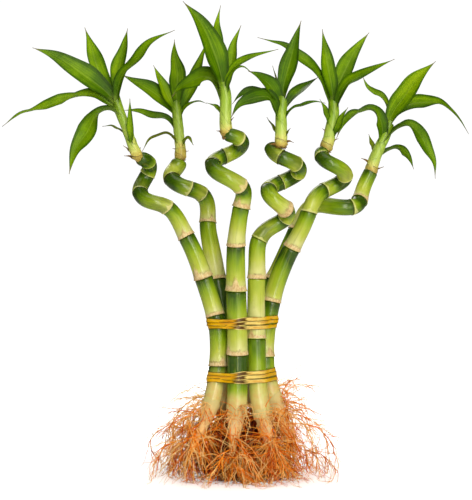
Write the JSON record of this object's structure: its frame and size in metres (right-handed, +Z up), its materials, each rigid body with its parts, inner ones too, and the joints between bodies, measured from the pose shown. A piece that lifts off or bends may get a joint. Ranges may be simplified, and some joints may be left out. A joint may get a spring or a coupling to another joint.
{
  "type": "lucky bamboo bundle",
  "caption": "Tied upright bundle of rooted lucky bamboo stalks with ringed green canes, spiral tops, leafy shoots, gold ribbon ties and a skirt of orange-brown roots",
  "frame": {"origin": "on the floor under the middle of the tied bundle, on the flat foot of the middle root tuft", "axes": "+Z up along the standing bundle, X across the fan of stalks with the pictured side facing -Y"},
  "size_m": [0.3775, 0.1311, 0.3742],
  "materials": {
    "cane": "waxy green cane that fades to yellow-green in each joint, with tan papery rings",
    "leaf": "glossy green leaf with fine lengthwise veins and a paler midrib",
    "root": "dry orange-brown root with a pale tan crown",
    "gold_tie": "shiny gold ribbon wire"
  },
  "bodies": {
    "root": {"cane_1": "cane", "cane_2": "cane", "cane_3": "cane", "cane_4": "cane", "cane_5": "cane", "cane_6": "cane", "shoot_1": "leaf", "shoot_2": "leaf", "shoot_3": "leaf", "shoot_4": "leaf", "shoot_5": "leaf", "shoot_6": "leaf", "roots_1": "root", "roots_2": "root", "roots_3": "root", "roots_4": "root", "roots_5": "root", "roots_6": "root", "tie_upper": "gold_tie", "tie_lower": "gold_tie"}
  },
  "joints": []
}
